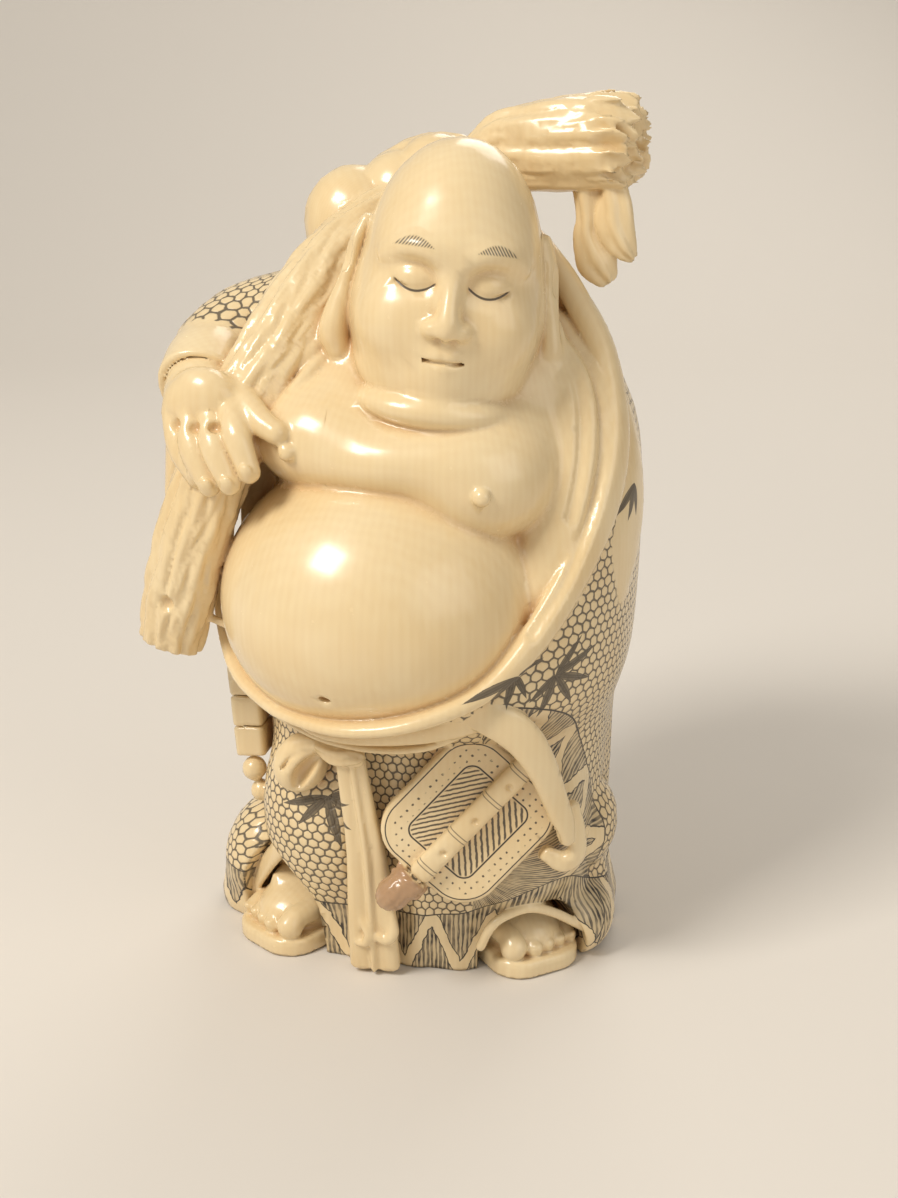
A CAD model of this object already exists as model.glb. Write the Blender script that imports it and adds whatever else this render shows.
import math

import bpy
import numpy as np
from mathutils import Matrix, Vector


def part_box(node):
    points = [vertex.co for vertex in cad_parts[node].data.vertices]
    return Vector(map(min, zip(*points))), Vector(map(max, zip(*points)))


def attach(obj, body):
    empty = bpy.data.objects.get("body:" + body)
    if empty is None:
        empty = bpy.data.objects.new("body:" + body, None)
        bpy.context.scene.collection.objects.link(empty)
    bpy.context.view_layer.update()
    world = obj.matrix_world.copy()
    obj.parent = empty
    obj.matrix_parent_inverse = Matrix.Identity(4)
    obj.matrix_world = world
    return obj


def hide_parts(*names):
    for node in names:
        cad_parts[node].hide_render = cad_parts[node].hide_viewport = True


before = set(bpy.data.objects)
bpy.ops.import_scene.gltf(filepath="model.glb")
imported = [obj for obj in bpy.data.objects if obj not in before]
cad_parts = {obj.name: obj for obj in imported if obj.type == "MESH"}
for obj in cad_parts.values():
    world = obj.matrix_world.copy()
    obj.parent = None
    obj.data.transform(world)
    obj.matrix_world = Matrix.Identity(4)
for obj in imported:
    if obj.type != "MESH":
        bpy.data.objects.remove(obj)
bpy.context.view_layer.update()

import openvdb
from mathutils import Euler, Matrix, Vector

# The block: the whole figure is cut from one piece of ivory, with no joint in it.
# It is kept here as distances on a grid of small cells, in millimetres, and each form
# below is added to it or cut from it as a carver would, with edges as soft as a polish leaves.
MM = 0.001
CELL = 0.4
ROOM = 3.0
FAR = 6.0
corner_low, corner_high = (np.array(corner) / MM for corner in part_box("hotei_figure"))
ORIGIN = np.floor(corner_low - ROOM)
ORIGIN[2] = -2.0
CELLS = np.ceil((corner_high + ROOM - ORIGIN) / CELL).astype(int)


def smooth_least(a, b, soft):
    """The lesser of two distances, rounded where they come within `soft` of each other."""
    share = np.clip(0.5 + 0.5 * (a - b) / soft, 0, 1)
    return a + (b - a) * share - soft * share * (1 - share)


class Block:
    """Ivory on the grid: below 0 inside the carving, above 0 outside it."""

    def __init__(self):
        self.field = np.full(CELLS, FAR, np.float32)

    def window(self, box, room):
        low = np.clip(np.floor((box[0] - room - ORIGIN) / CELL), 0, CELLS - 1).astype(int)
        high = np.clip(np.ceil((box[1] + room - ORIGIN) / CELL) + 1, 1, CELLS).astype(int)
        axes = [(ORIGIN[k] + CELL * np.arange(low[k], high[k])).astype(np.float32) for k in range(3)]
        where = tuple(slice(a, b) for a, b in zip(low, high))
        return where, axes[0][:, None, None], axes[1][None, :, None], axes[2][None, None, :]

    def add(self, form, soft=0.5):
        box, distance = form
        where, x, y, z = self.window(box, 1.5 * soft + 2 * CELL)
        self.field[where] = smooth_least(self.field[where], distance(x, y, z), soft)

    def cut(self, form, soft=0.5):
        box, distance = form
        where, x, y, z = self.window(box, 1.5 * soft + 2 * CELL)
        self.field[where] = -smooth_least(-self.field[where], distance(x, y, z), soft)


def turned(turn):
    """Rows of a turn about X, then Y, then Z, in degrees."""
    return np.array(Euler([math.radians(a) for a in turn], "XYZ").to_matrix())


def egg(at, radii, turn=(0, 0, 0), within=None):
    """An ellipsoid as a box that holds it and its distance from any point."""
    axes = turned(turn)
    if within is not None:
        at = np.array(within @ Vector(at))
        axes = np.array(within.to_3x3()) @ axes
    at = np.array(at, float)
    reach = np.sqrt(np.square(axes) @ np.square(radii))

    def distance(x, y, z):
        local = [axes[0][k] * (x - at[0]) + axes[1][k] * (y - at[1]) + axes[2][k] * (z - at[2]) for k in range(3)]
        near = np.sqrt(sum((a / r) ** 2 for a, r in zip(local, radii))) + 1e-5
        slope = np.sqrt(sum((a / r**2) ** 2 for a, r in zip(local, radii))) + 1e-5
        return near * (near - 1) / slope

    return (at - reach, at + reach), distance


def along(stations, steps):
    """Points on a smooth line through the stations, with the other columns carried along."""
    p = np.array(stations, float)
    p = np.vstack([2 * p[0] - p[1], p, 2 * p[-1] - p[-2]])
    rows = []
    for a, b, c, d in zip(p, p[1:], p[2:], p[3:]):
        for k in range(steps):
            t = k / steps
            curve = (c - a) * t + (2 * a - 5 * b + 4 * c - d) * t**2 + (3 * b - a - 3 * c + d) * t**3
            rows.append(b + curve / 2)
    return np.array(rows + [p[-2]])


def limb(stations, facing=(0, -1, 0), square=2, steps=5, relief=None, within=None):
    """A form carried along a line. Each station is x, y, z, half-width, half-depth.
    The depth points along `facing`, and `relief` raises the surface by length and angle."""
    line = along(stations, steps)
    if within is not None:
        line[:, :3] = [within @ Vector(p) for p in line[:, :3]]
    thick = line[:, 3:5].max() + (2.5 if relief else 0.5)

    def distance(x, y, z):
        made = np.full(np.broadcast_shapes(x.shape, y.shape, z.shape), FAR, np.float32)
        start = 0.0
        for a, b in zip(line, line[1:]):
            way = b[:3] - a[:3]
            length = np.linalg.norm(way)
            way = way / length
            front = np.array(facing(a[:3]) if callable(facing) else facing, float)
            front = front - way * (front @ way)
            front = front / np.linalg.norm(front)
            side = np.cross(front, way)
            low, high = np.minimum(a[:3], b[:3]) - thick - 2, np.maximum(a[:3], b[:3]) + thick + 2
            part = [slice(*np.searchsorted(v.ravel(), (low[k], high[k]))) for k, v in enumerate((x, y, z))]
            dx, dy, dz = x[part[0]] - a[0], y[:, part[1]] - a[1], z[:, :, part[2]] - a[2]
            if 0 in (dx.size, dy.size, dz.size):
                start += length
                continue
            axial, across, out = (v[0] * dx + v[1] * dy + v[2] * dz for v in (way, side, front))
            t = np.clip(axial / length, 0, 1)
            width, depth = (a[k] + (b[k] - a[k]) * t for k in (3, 4))
            end = np.minimum(width, depth)
            q = [np.abs(across) / width, np.abs(out) / depth, np.abs(axial - t * length) / end]
            near = sum(v**square for v in q) ** (1 / square) + 1e-5
            slope = np.sqrt(sum((v ** (square - 1) / r) ** 2 for v, r in zip(q, (width, depth, end)))) + 1e-5
            value = (near - 1) * near ** (square - 1) / slope
            if relief:
                value = value - relief(start + t * length, np.arctan2(out, across))
            here = made[part[0], part[1], part[2]]
            np.minimum(here, value, out=here)
            start += length
        return made

    return (line[:, :3].min(0) - thick, line[:, :3].max(0) + thick), distance


# The engraver's marks: lines cut into the polish and rubbed with dark ink. Each kind of mark
# is a shader node group that is given a place in millimetres and gives back how much ink lies
# there, so the same hand draws the cells, leaves, ribbons and dots.
class Mark:
    """A number that changes over the surface. Sums with it add nodes to its drawing."""

    def __init__(self, drawing, socket):
        self.drawing = drawing
        self.socket = socket

    def sum(self, operation, *others, clamp=False):
        node = self.drawing.tree.nodes.new("ShaderNodeMath")
        node.operation = operation
        for socket, value in zip(node.inputs, (self, *others)):
            self.drawing.join(value, socket)
        made = Mark(self.drawing, node.outputs[0])
        return made.held() if clamp else made

    def held(self):
        """The number held between 0 and 1."""
        node = self.drawing.tree.nodes.new("ShaderNodeClamp")
        self.drawing.join(self, node.inputs["Value"])
        return Mark(self.drawing, node.outputs[0])

    def __add__(self, other):
        return self.sum("ADD", other)

    def __sub__(self, other):
        return self.sum("SUBTRACT", other)

    def __rsub__(self, other):
        return self.sum("MULTIPLY_ADD", -1, other)

    def __mul__(self, other):
        return self.sum("MULTIPLY", other)

    def __truediv__(self, other):
        return self.sum("DIVIDE", other)

    def __abs__(self):
        return self.sum("ABSOLUTE")

    def below(self, edge, soft=0.1):
        """1 where the number is below `edge`, 0 above it, over a short step."""
        return self.sum("MULTIPLY_ADD", -1 / soft, edge / soft + 0.5, clamp=True)

    def above(self, edge, soft=0.1):
        return self.sum("MULTIPLY_ADD", 1 / soft, 0.5 - edge / soft, clamp=True)

    def either(self, other):
        return self.sum("MAXIMUM", other)

    def least(self, other):
        return self.sum("MINIMUM", other)

    def repeated(self, step):
        """Folds the number back on itself: 0 up to half a step and down again."""
        return self.sum("PINGPONG", step / 2)


class Drawing:
    """A shader node group with named inputs and outputs, written as sums of marks."""

    def __init__(self, name, inputs=(), outputs=(), tree=None):
        self.tree = tree or bpy.data.node_groups.new(name, "ShaderNodeTree")
        self.given = {}
        if tree:
            return
        for title in inputs:
            self.tree.interface.new_socket(title, in_out="INPUT", socket_type="NodeSocketFloat")
        for title in outputs:
            self.tree.interface.new_socket(title, in_out="OUTPUT", socket_type="NodeSocketFloat")
        start = self.tree.nodes.new("NodeGroupInput")
        self.given = {title: Mark(self, start.outputs[title]) for title in inputs}
        self.end = self.tree.nodes.new("NodeGroupOutput")

    def join(self, value, socket):
        if isinstance(value, Mark):
            self.tree.links.new(value.socket, socket)
        else:
            socket.default_value = value

    def gives(self, **outputs):
        for title, mark in outputs.items():
            self.join(mark, self.end.inputs[title])
        return self.tree

    def place(self, group, **inputs):
        """Places a node group here with its own values, and gives back its outputs."""
        node = self.tree.nodes.new("ShaderNodeGroup")
        node.node_tree = group
        for title, value in inputs.items():
            self.join(value, node.inputs[title])
        return {output.name: Mark(self, output) for output in node.outputs}

    def point(self, x, y, z):
        node = self.tree.nodes.new("ShaderNodeCombineXYZ")
        for socket, value in zip(node.inputs, (x, y, z)):
            self.join(value, socket)
        return Mark(self, node.outputs[0])

    def noise(self, place, scale, detail=2.0):
        """A soft random number from 0 to 1, by place."""
        node = self.tree.nodes.new("ShaderNodeTexNoise")
        self.join(place, node.inputs["Vector"])
        node.inputs["Scale"].default_value = scale
        node.inputs["Detail"].default_value = detail
        return Mark(self, node.outputs["Fac"])


def engraved_cells():
    """Six-sided cells side by side: the line between them, and the rise of each cell."""
    CELL_WIDTH = 1.85
    LINE = 0.085
    drawing = Drawing("engraved_cells", ["Across", "Up"], ["Line", "Rise"])
    u, v = drawing.given["Across"], drawing.given["Up"]
    place = drawing.point(u, v, 0.0)
    u = u + drawing.noise(place, 0.45) * 0.9
    v = v + drawing.noise(drawing.point(v, u, 3.0), 0.45) * 0.9
    x, y = u / CELL_WIDTH, v / CELL_WIDTH
    tall = math.sqrt(3) / 2
    ax, ay = x.sum("WRAP", 0.5, -0.5), y.sum("WRAP", tall, -tall)
    bx, by = (x - 0.5).sum("WRAP", 0.5, -0.5), (y - tall).sum("WRAP", tall, -tall)

    def reach(p, q):
        p, q = abs(p), abs(q)
        sides = p.either(p * 0.5 + q * tall)
        return sides * 0.68 + (p * p + q * q).sum("SQRT") * 0.32

    edge = 0.5 - reach(ax, ay).least(reach(bx, by))
    ragged = edge - drawing.noise(place, 1.6) * 0.08
    return drawing.gives(Line=ragged.below(LINE - 0.04, 0.06), Rise=edge.sum("MULTIPLY", 4, clamp=True))


ENGRAVED_CELLS = engraved_cells()


def own_axes(frame_of_form, x, y, z):
    """The place x, y, z as marks along a form's own three axes."""
    back = frame_of_form.inverted()
    return [x * row[0] + y * row[1] + z * row[2] + row[3] for row in back[:3]]

cloth = Block()
plain = Block()

# The robe: a loose robe of carved cloth, open down the front and gathered at the waist.
# It is engraved all over with small cells. The hem is scalloped, and long soft folds run
# down from the shoulders at the back.
ROBE_MIDDLE = (3.0, 1.0)
ROBE_SQUARE = 2 / 0.88
ROBE_TOP = 133.0
# Height, middle x, middle y, half-width, depth in front, depth behind.
ROBE_LEVELS = [
    [-6, 0.5, 1.5, 36.5, 25.5, 26],
    [0, 0.5, 1.5, 36.5, 25.5, 26],
    [4, 0.5, 1.5, 37, 25.5, 26],
    [11, 2, 1, 33.5, 25.5, 25.5],
    [19, 2.5, 0.5, 31.5, 27, 26],
    [31, 3.5, 0.5, 31, 27.5, 26.5],
    [44, 3.5, 1, 32, 29, 26.5],
    [50, 3.8, 1, 33.4, 34, 26.5],
    [56, 4, 2, 34.8, 41, 26],
    [66, 4, 2, 35.6, 40.5, 26],
    [80, 3.8, 3, 36, 39, 25],
    [97, 3, 4, 35.6, 35, 24],
    [110, 0.5, 4.5, 32.5, 26, 21],
    [119, -0.5, 4.5, 27.5, 17, 16],
    [126, 1, 4, 18, 11, 11],
    [131, 2, 3.5, 9, 6, 6],
    [ROBE_TOP, 2, 3.5, 3, 3, 3],
]
# Angle from the front in degrees, rise in mm, width in degrees, lowest and highest point of each fold.
ROBE_FOLDS = [
    (-32, 1.6, 7, -8, 34),
    (-14, 1.4, 6, -8, 22),
    (8, 1.6, 6, -10, 24),
    (24, 2.2, 7, -10, 26),
    (62, 2.4, 9, -10, 34),
    (82, 1.8, 7, -10, 40),
    (104, 1.8, 8, -10, 60),
    (124, 1.6, 7, -10, 84),
    (146, 2.0, 8, -10, 70),
    (168, 1.6, 7, -10, 88),
    (-170, 1.8, 8, -10, 74),
    (-148, 1.8, 8, -10, 92),
    (-126, 1.6, 7, -10, 70),
    (-104, 1.8, 8, -10, 60),
    (-84, 1.6, 7, -10, 44),
    (-64, 1.8, 8, -10, 34),
]


def swell(value, low, high):
    """Rises from 0 at `low` to 1 halfway and back to 0 at `high`."""
    t = np.clip((value - low) / (high - low), 0, 1)
    return np.sin(math.pi * t) ** 2


def robe():
    table = along(ROBE_LEVELS, 8)
    low = np.array([-44, -46, -4.0])
    high = np.array([44, 44, ROBE_TOP])

    def distance(x, y, z):
        centre_x, centre_y, half, front, back = (
            np.interp(z, table[:, 0], table[:, k]).astype(np.float32) for k in range(1, 6)
        )
        across = x - centre_x
        behind = y - centre_y
        deep = np.where(behind < 0, front, back)
        n = ROBE_SQUARE
        near = ((np.abs(across) / half) ** n + (np.abs(behind) / deep) ** n) ** (1 / n) + 1e-5
        radius = np.sqrt(across**2 + behind**2)
        angle = np.degrees(np.arctan2(across, -behind))
        rise = np.zeros_like(radius)
        for centre, height, width, bottom, top in ROBE_FOLDS:
            away = (angle - centre + 180) % 360 - 180
            rise += height * np.exp(-((away / width) ** 2)) * swell(z, bottom, top)
        value = radius * (1 - 1 / near) - rise
        slope = np.gradient(half.ravel(), CELL)[None, None, :]
        return value / np.sqrt(1 + slope**2)

    return (low, high), distance


def leaf():
    """One long pointed leaf from its base: dark, with paler veins along it."""
    drawing = Drawing("leaf", ["Across", "Up", "Base Across", "Base Up", "Turn", "Length", "Width"], ["Ink"])
    given = drawing.given
    du, dv = given["Across"] - given["Base Across"], given["Up"] - given["Base Up"]
    turn = given["Turn"]
    cosine, sine = turn.sum("COSINE"), turn.sum("SINE")
    t = (du * cosine + dv * sine) / given["Length"]
    off = abs(dv * cosine - du * sine)
    shape = (t.sum("POWER", 0.75) * math.pi).sum("SINE")
    inside = (given["Width"] * shape - off) * (t.above(0.0, 0.01) * t.below(1.0, 0.01))
    veins = (off * 9).sum("SINE") * 0.07 + 0.9
    fill = inside.above(0.05, 0.1)
    rim = inside.above(0.05, 0.06) * inside.below(0.2, 0.1)
    return drawing.gives(Ink=(fill * veins).either(rim))


LEAF = leaf()


def spray(drawing, u, v, at, leaves):
    """A spray of leaves from one twig. Each leaf is turn in degrees, length and half-width."""
    ink = None
    for turn, length, width in leaves:
        made = drawing.place(LEAF, **{"Across": u, "Up": v, "Base Across": at[0], "Base Up": at[1],
                                      "Turn": math.radians(turn), "Length": length, "Width": width})["Ink"]
        ink = made if ink is None else ink.either(made)
    return ink


def ribbon_band():
    """A band of plain ribbons in a zigzag, with dark hatching in the triangles between them."""
    drawing = Drawing("ribbon_band", ["Along", "Across", "Height"], ["Ink", "Line"])
    s, t, height = (drawing.given[title] for title in ("Along", "Across", "Height"))
    PERIOD = 13.0
    RIBBON = 1.0
    rough = drawing.noise(drawing.point(s, t, 0.0), 0.35)
    zigzag = (s + rough * 2.2).repeated(PERIOD) * (2 / PERIOD)
    off = abs(t / height - zigzag) * (0.5 * PERIOD) * 0.72
    outline = abs(off - RIBBON).below(0.1, 0.08)
    field = off.above(RIBBON, 0.06)
    stroke = (s * 6.5 + drawing.noise(drawing.point(s, t * 0.12, 1.0), 2.0) * 7).sum("SINE")
    strength = drawing.noise(drawing.point(s * 0.35, t * 0.35, 5.0), 1.0)
    hatch = field * (stroke.above(0.0, 0.8) * 0.65 + 0.3) * (strength * 1.2 + 0.25)
    return drawing.gives(Ink=outline.either(hatch), Line=outline)


RIBBONS = ribbon_band()

cloth.add(robe(), 0.5)
for at, radii, turn, soft in [
    ([-12, -13, 27], [15, 15.5, 21], (0, 0, 0), 2.5),
    ([18, -13, 27], [16, 15.5, 20], (0, 0, 0), 2.5),
    ([30.4, -3, 22.4], [7.8, 11, 9.2], (0, 6, 0), 0.8),
    ([-29, -6, 12], [8.6, 11, 11.5], (0, 14, 0), 1.2),
    ([-33, -4, 3], [6.4, 9, 7], (0, 0, 0), 2.5),
    ([31.5, -9, 6.5], [7.4, 9.5, 7.4], (0, 0, 0), 1.2),
]:
    cloth.add(egg(at, radii, turn), soft)

# The opening of the robe, from the shoulders down round the belly: a cone from deep in
# the chest out through the edge of the robe.
RIM = [
    [15, 6, 131, 2.5],
    [22, 1, 127, 2.8],
    [27.8, -2, 120, 2.8],
    [33, -5, 111.5, 3],
    [36, -10, 100, 3.2],
    [35.4, -15.5, 89, 3.4],
    [31.5, -23, 78, 3],
    [25.8, -31, 68, 2.4],
    [18.4, -37.4, 60.6, 1.7],
    [8, -42.4, 56.6, 1.3],
    [-3, -42.4, 54.6, 1.2],
    [-13.6, -37.4, 54, 1],
    [-20, -32.4, 54.6, 1],
    [-26, -26.6, 56.4, 1],
    [-30, -21, 61, 1.1],
    [-32.4, -17, 70, 1.4],
    [-32.5, -16, 80, 1.8],
    [-29.5, -16.5, 88, 2.2],
    [-24, -19, 99, 2.6],
    [-17, -18, 110, 3],
    [-10, -10, 120, 3],
]
RIM_DEPTH = 2.2
DEEP = np.array([2, -2, 90.0])
OUTWARD = np.array([0, -0.8, 0.6])


def seen_from_deep(x, y, z):
    """Where a point lies on a flat map of the directions from deep in the chest."""
    dx, dy, dz = x - DEEP[0], y - DEEP[1], z - DEEP[2]
    far = np.sqrt(dx**2 + dy**2 + dz**2) + 1e-4
    ahead = (dy * OUTWARD[1] + dz * OUTWARD[2]) / far
    scale = 1 / (far * (1.02 + ahead))
    return dx * scale, (dz * -OUTWARD[1] + dy * OUTWARD[2]) * scale, far * (1.02 + ahead) / 2 * 2


def opening():
    loop = along([p[:3] for p in RIM] + [[0, 0, 132], RIM[0][:3]], 5)
    mu, mv, _ = seen_from_deep(loop[:, 0], loop[:, 1], loop[:, 2])
    size, reach = 240, 2.4
    line = np.linspace(-reach, reach, size)
    gu, gv = np.meshgrid(line, line, indexing="ij")
    gap = np.full(gu.shape, 9.0)
    inside = np.zeros(gu.shape, bool)
    for a, b, c, d in zip(mu, mv, mu[1:], mv[1:]):
        du, dv = c - a, d - b
        t = np.clip(((gu - a) * du + (gv - b) * dv) / (du * du + dv * dv + 1e-9), 0, 1)
        gap = np.minimum(gap, np.hypot(gu - a - t * du, gv - b - t * dv))
        inside ^= ((b > gv) != (d > gv)) & (gu < du * (gv - b) / (dv if dv else 1e-9) + a)
    gap = np.where(inside, -gap, gap).astype(np.float32)

    def distance(x, y, z):
        u, v, scale = seen_from_deep(x, y, z)
        i, j = (np.clip((w + reach) / (2 * reach) * (size - 1), 0, size - 1.001) for w in (u, v))
        i0, j0 = i.astype(int), j.astype(int)
        fi, fj = i - i0, j - j0
        low = gap[i0, j0] * (1 - fj) + gap[i0, j0 + 1] * fj
        high = gap[i0 + 1, j0] * (1 - fj) + gap[i0 + 1, j0 + 1] * fj
        return (low * (1 - fi) + high * fi) * scale

    return (np.array([-46, -47, 50.0]), np.array([40, 8, 140.0])), distance


robe_opening = opening()
cloth.cut(robe_opening, 0.8)
opened = Block()
opened.add(robe_opening, 0.01)

# The body: a bare chest and a round belly, polished smooth.
# The arm on the fan's side is drawn into the robe.
BELLY = ([-2.5, -18.5, 72.6], [27.2, 27, 22.4])
BODY_BOX = (np.array([-40, -47, 40.0]), np.array([40, 30, 132.0]))


def kept_in(block):
    """A block's own distances, as a form that can be added to another block."""
    def distance(x, y, z):
        corner = [round((v.ravel()[0] - ORIGIN[k]) / CELL) for k, v in enumerate((x, y, z))]
        return block.field[tuple(slice(a, a + v.size) for a, v in zip(corner, (x, y, z)))]

    return distance


body = Block()
body.add(egg([3, -4, 92], [31, 20, 34]), 1)
for at, radii, turn, soft in [
    ([2, -7, 103], [27, 15, 12], (8, 4, 0), 6),
    ([2, -15.6, 96.4], [24, 18.4, 9], (0, 0, 0), 5),
    ([-11, -17, 99], [14, 14.5, 10], (0, 0, 0), 4),
    ([14, -18.6, 93.6], [14, 14.5, 11.6], (10, 12, 0), 4),
]:
    body.add(egg(at, radii, turn), soft)
body.add(limb([[22, -2, 111, 8, 8], [28.4, -8, 101, 8, 8.5], [27.6, -15, 84, 8.4, 8.5], [23.4, -21, 68, 7, 7.5]]), 1.6)
belly = Block()
belly.add(egg(*BELLY), 1)
belly.add(egg([-2, -18.8, 66.5], [26, 26, 19]), 8)
body.add((BODY_BOX, kept_in(belly)), 1.2)
body.cut(egg([-6, -43.4, 60.4], [1.1, 1, 0.7]), 0.7)
for at in ([-15.2, -31.6, 98], [17.6, -33.0, 92.5]):
    body.add(egg(at, [1.5, 1.2, 1.5]), 0.8)
plain.add((BODY_BOX, kept_in(body)), 0.5)


def grain():
    """The crossed curved lines of ivory round the tusk's middle, which run straight down its length."""
    TUSK_MIDDLE = (0.0, 14.0)
    drawing = Drawing("ivory_grain", ["X", "Y", "Z"], ["Grain", "Streak"])
    x, y, z = (drawing.given[axis] for axis in "XYZ")
    x, y = x - TUSK_MIDDLE[0], y - TUSK_MIDDLE[1]
    place = drawing.point(x, y, z * 0.05)
    wander = drawing.noise(place, 0.12) * 5
    out = (x * x + y * y).sum("SQRT")
    around = y.sum("ARCTAN2", x)
    one = (around * 118 + out * 2.1 + wander).sum("SINE")
    other = (around * -118 + out * 2.1 + wander).sum("SINE")
    streak = drawing.noise(drawing.point(x * 1.0, y * 1.0, z * 0.03), 0.9, 3.0)
    return drawing.gives(Grain=one * other * 0.5 + 0.5, Streak=streak)


IVORY_GRAIN = grain()

# The edge of the robe: a plain rounded band of cloth that frames the chest and belly,
# with a second, narrower band under it.
BAND = [
    [34.5, 2, 104, 2, 1.6],
    [37.2, -2, 94, 5, 2.4],
    [37.6, -7, 82.4, 7, 2.4],
    [34.6, -14.4, 71.4, 7.4, 2.4],
    [28.6, -22.8, 62.4, 6.2, 2.4],
    [20.4, -31.4, 57, 4, 2.2],
    [11, -36.6, 53.6, 2.4, 2],
    [0, -38.2, 51.8, 1.6, 1.8],
    [-8, -37.4, 51.2, 1, 1.4],
    [-14, -35, 52, 0.5, 0.8],
]


def outwards(point):
    return point[0], point[1] - 4, 0


def sampled(grid_values, at):
    """Reads a grid between its cells at points in millimetres."""
    place = np.clip((at - ORIGIN) / CELL, 0, CELLS - 1.001)
    base = place.astype(int)
    part = place - base
    made = np.zeros(len(at))
    for corner in range(8):
        step = [(corner >> k) & 1 for k in range(3)]
        share = np.prod([part[:, k] if step[k] else 1 - part[:, k] for k in range(3)], axis=0)
        made += share * grid_values[base[:, 0] + step[0], base[:, 1] + step[1], base[:, 2] + step[2]]
    return made


def laid(stations, centre=(0, -4, 88), lift=0.0):
    """Moves each station straight out from `centre` until it lies on the carving's surface."""
    made = []
    reach = np.arange(62, 4, -CELL / 2)[:, None]
    for station in stations:
        way = np.array(station[:3]) - centre
        way = way / np.linalg.norm(way)
        path = centre + way * reach
        inside = np.minimum(sampled(cloth.field, path), sampled(plain.field, path)) < 0
        out = float(reach[np.argmax(inside)][0])
        made.append([*(centre + way * (out + lift)), *station[3:]])
    return made


plain.add(limb([p + [RIM_DEPTH] for p in RIM], outwards, square=2.6, steps=6), 0.6)
plain.add(limb(BAND, outwards, square=2.4, steps=6), 0.6)
BELT = [[-20, -29.6, 51.4], [-14, -33, 50], [-8, -35.2, 49], [0, -36.4, 48.6], [8, -36.2, 49.4], [14, -34.8, 51.6],
        [18.6, -33, 54.4]]
plain.add(limb([p + [0.7, 1] for p in BELT], outwards, steps=6), 0.3)
for ridge in (
    [[-9.6, -7, 118.5], [-12.6, -13, 115], [-16.8, -19.2, 110.8], [-20.4, -25, 104]],
    [[-8, -10, 116.6], [-10.9, -15.2, 113.2], [-14.9, -21.2, 108.2], [-18.2, -26.6, 102.8]],
):
    plain.add(limb([p + [1.3, 1.5] for p in ridge]), 0.5)

# The head: bald and round, with long ear lobes, turned a little and leaning over.
# The face is a plain, calm one with lowered lids.
HEAD_AT = (8.5, -13, 125.5)
HEAD_TURN = (0, 7, 12)
HEAD = Matrix.Translation(HEAD_AT) @ Euler([math.radians(a) for a in HEAD_TURN], "XYZ").to_matrix().to_4x4()
head = Block()
head.add(egg([0, 0, 1.2], [14.7, 17, 20.6], within=HEAD), 1)
for at, radii, soft in [
    ([0, -0.8, -8.5], [15.8, 15.8, 13], 6),
    ([0, -4.8, -16], [13.4, 11.4, 6.6], 4),
    ([0, -7, -20.8], [13.4, 11.2, 4.4], 1),
    ([0, -12, -15.6], [4.3, 4.4, 3.4], 4),
    ([0, -8.6, 5], [11.8, 9, 4.6], 4),
    ([0, -13.9, -11], [4.9, 3.3, 3.8], 3),
]:
    head.add(egg(at, radii, within=HEAD), soft)
for side in (-1, 1):
    head.add(egg([side * 7.9, -10.1, -7.4], [6.2, 6.2, 6.2], within=HEAD), 4)
    head.cut(egg([side * 6, -17.8, 0.8], [4.2, 2.5, 2.8], (0, 0, side * 16), within=HEAD), 2)
    head.add(egg([side * 5.9, -13.9, 0.3], [3.6, 2.6, 2.5], (0, 0, side * 16), within=HEAD), 0.6)
    lid = [[side * 2.7, -16.5, -0.2, 0.36, 0.4], [side * 4.5, -16.8, -1.2, 0.4, 0.5],
           [side * 6.3, -16.4, -1.5, 0.4, 0.5], [side * 9.0, -14.3, -0.4, 0.36, 0.4]]
    head.cut(limb(lid, within=HEAD), 0.3)
    head.add(limb([[side * 1.3, -16.6, 3.4, 0.8, 0.7], [side * 4.6, -16.9, 5.3, 1, 0.9],
                   [side * 8.2, -15.2, 5.2, 1, 0.9], [side * 11, -12.2, 3.2, 0.7, 0.6]], within=HEAD), 2)
    head.add(egg([side * 2.5, -17.4, -6.9], [1.7, 2.2, 1.6], within=HEAD), 1)
nose = [[0, -15.6, 3.6, 1.2, 1.2], [0, -17.4, -1, 1.4, 1.6], [0, -18.8, -5.4, 1.9, 2], [0, -18.8, -6.6, 1.9, 1.9]]
head.add(limb(nose, within=HEAD), 1.6)
for side in (-1, 1):
    head.cut(egg([side * 1.3, -18.8, -8.5], [0.8, 1, 0.6], within=HEAD), 0.5)
upper_lip = [[-4.1, -15.2, -11.7, 0.5, 0.6], [-1.5, -17.2, -11.0, 1, 0.9], [0, -17.3, -11.2, 0.9, 0.9],
             [1.5, -17.2, -11.0, 1, 0.9], [4.1, -15.2, -11.7, 0.5, 0.6]]
lower_lip = [[-3.4, -15.6, -12.6, 0.5, 0.6], [0, -17.0, -13.2, 1.2, 1], [3.4, -15.6, -12.6, 0.5, 0.6]]
mouth = [[-4.6, -15.2, -11.7, 0.3, 0.5], [-1.9, -17.6, -12.1, 0.3, 0.6], [0, -18.0, -12.0, 0.3, 0.6],
         [1.9, -17.6, -12.1, 0.3, 0.6], [4.6, -15.2, -11.7, 0.3, 0.5]]
head.add(limb(upper_lip, within=HEAD), 0.8)
head.add(limb(lower_lip, within=HEAD), 0.8)
head.cut(limb(mouth, within=HEAD), 0.4)
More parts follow.
